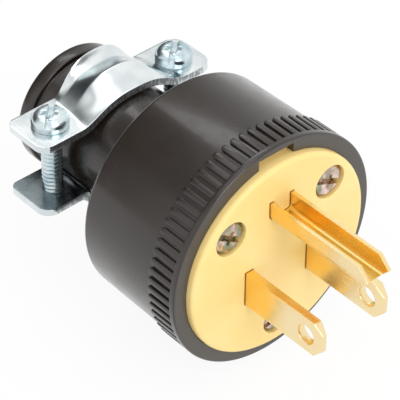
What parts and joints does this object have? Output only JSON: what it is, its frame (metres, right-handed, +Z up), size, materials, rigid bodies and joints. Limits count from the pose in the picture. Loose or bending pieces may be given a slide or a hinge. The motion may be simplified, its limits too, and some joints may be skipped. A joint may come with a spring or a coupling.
{
  "type": "type b plug",
  "caption": "Rewirable grounded plug: ribbed black shell, yellow face, flat brass blades, U-shaped ground pin and a screwed saddle clamp over the cord neck.",
  "frame": {"origin": "centre of the yellow face, on the axis of the shell", "axes": "+X along the blades, the way the plug goes into a socket; +Z up, with the ground pin above the blades"},
  "size_m": [0.0719, 0.0404, 0.0404],
  "materials": {
    "black_moulding": "semi-gloss moulded black",
    "yellow_moulding": "satin moulded yellow",
    "insulator": "plain moulded insulator",
    "brass": "bright rolled and stamped brass",
    "plated_screw": "bright zinc plating",
    "green_screw": "green dyed plating",
    "zinc_steel": "bright bluish zinc plated pressed steel"
  },
  "bodies": {
    "root": {"shell": "black_moulding", "face_plate": "yellow_moulding", "terminal_block": "insulator", "line_blade": "brass", "neutral_blade": "brass", "ground_pin": "brass", "line_terminal_screw": "brass", "neutral_terminal_screw": "plated_screw", "ground_terminal_screw": "green_screw", "assembly_screws": "plated_screw", "upper_clamp": "zinc_steel", "lower_clamp": "zinc_steel", "clamp_screws": "plated_screw"}
  },
  "joints": []
}
